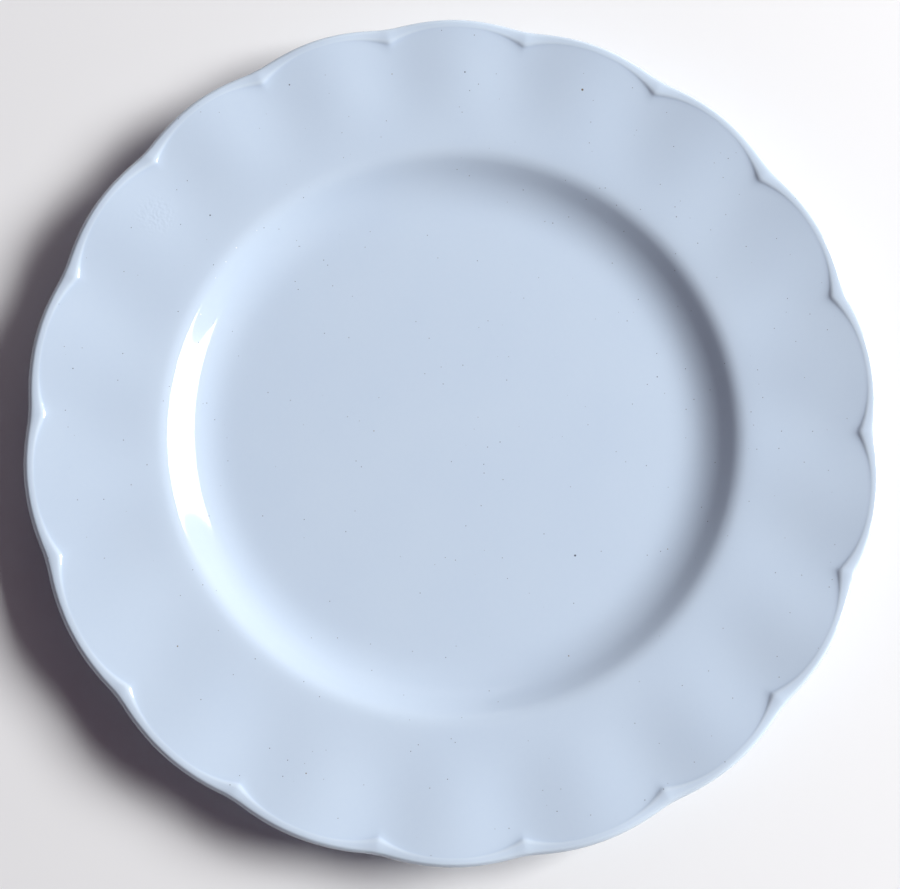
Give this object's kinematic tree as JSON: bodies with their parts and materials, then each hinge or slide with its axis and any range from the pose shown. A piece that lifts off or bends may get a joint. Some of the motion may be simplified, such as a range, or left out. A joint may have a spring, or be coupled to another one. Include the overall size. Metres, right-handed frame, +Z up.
{
  "type": "lunch plate",
  "caption": "Round glazed ceramic lunch plate with a scalloped, fluted rim edged by a raised band, a flat-floored well and a bare foot ring.",
  "frame": {"origin": "centre of the foot ring, on the plane it stands on", "axes": "+Z up through the middle of the plate, and a crease between two rim petals on +X"},
  "size_m": [0.2294, 0.231, 0.0172],
  "materials": {
    "clay": "matt fired clay, bare on the foot ring's bearing edge",
    "glaze": "smooth glossy pale blue glaze with a few fine dark specks"
  },
  "bodies": {
    "root": {"clay_body": "clay", "glaze_coat": "glaze", "foot_recess_glaze": "glaze"}
  },
  "joints": []
}
